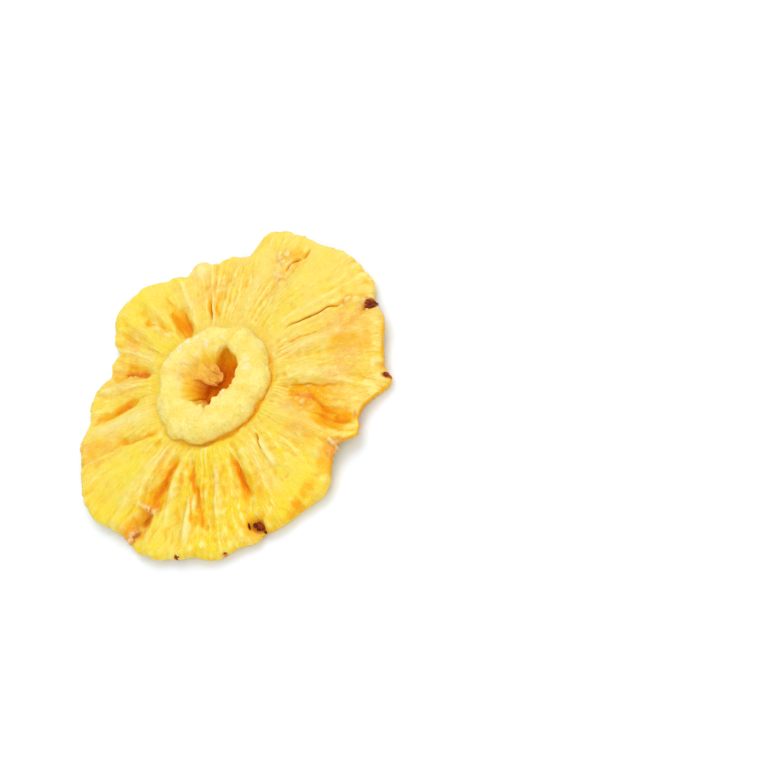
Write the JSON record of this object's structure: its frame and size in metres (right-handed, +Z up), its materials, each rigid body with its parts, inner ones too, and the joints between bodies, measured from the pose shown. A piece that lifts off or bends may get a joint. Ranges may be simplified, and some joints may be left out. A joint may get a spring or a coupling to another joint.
{
  "type": "dried pineapple ring",
  "caption": "Slice of dried pineapple with a proud core band round its cored hole, radial fibres and valleys, and a lobed, slightly curled rim.",
  "frame": {"origin": "middle of the outline, on the surface that the ring lies on", "axes": "+Z up through the ring's thickness, towards the side that the picture shows; +X and +Y in the ring's plane, with the picture's camera on the -Y side"},
  "size_m": [0.0824, 0.0749, 0.0085],
  "materials": {
    "dried_flesh": "dried fruit flesh: yellow, chewy, slightly waxy and translucent, amber in its valleys",
    "core_band": "dried core: pale yellow, dense and finely grained, matt",
    "eye_skin": "scraps of skin left in the eyes: dark brown, dry and crinkled",
    "sugar_grain": "dried fruit sugar: small whitish translucent grains"
  },
  "bodies": {
    "root": {"pineapple_ring": "dried_flesh"}
  },
  "joints": []
}
